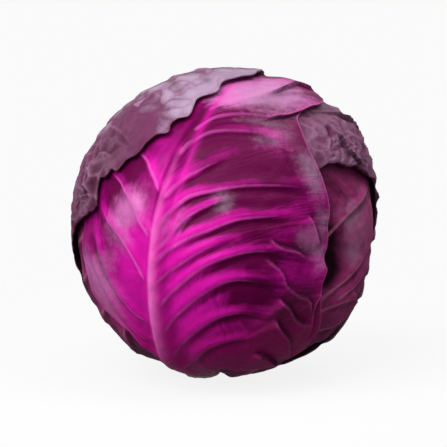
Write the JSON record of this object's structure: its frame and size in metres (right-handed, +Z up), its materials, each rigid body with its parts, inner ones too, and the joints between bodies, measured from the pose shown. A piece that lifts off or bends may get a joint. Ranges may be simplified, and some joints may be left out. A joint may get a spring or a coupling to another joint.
{
  "type": "red cabbage head",
  "caption": "Round head of red cabbage, trimmed for sale: a tight heart wrapped in overlapping waxy outer leaves that grow from a short cut stem it rests on.",
  "frame": {"origin": "On the surface that the head rests on, under the middle of the head's bounding box.", "axes": "+Z up from the cut stem to the crown; -Y is the front, where the broad front leaf shows its midrib; +X is to the right of somebody who faces that front. The head leans a few degrees, crown towards +X."},
  "size_m": [0.1654, 0.1598, 0.169],
  "materials": {
    "heart_leaves": "tightly folded waxy purple leaf, satin",
    "grey_leaf": "outer leaf under a grey bloom of wax, satin",
    "magenta_leaf": "bright magenta leaf, smooth and slightly glossy",
    "purple_leaf": "dull purple leaf, satin",
    "stem_flesh": "pale cut flesh, matt"
  },
  "bodies": {
    "root": {"heart": "heart_leaves", "crown_leaf": "grey_leaf", "front_leaf": "magenta_leaf", "shoulder_leaf": "grey_leaf", "right_leaf": "purple_leaf", "left_leaf": "purple_leaf", "back_leaf": "purple_leaf", "lower_right_leaf": "purple_leaf", "stem": "stem_flesh"}
  },
  "joints": []
}
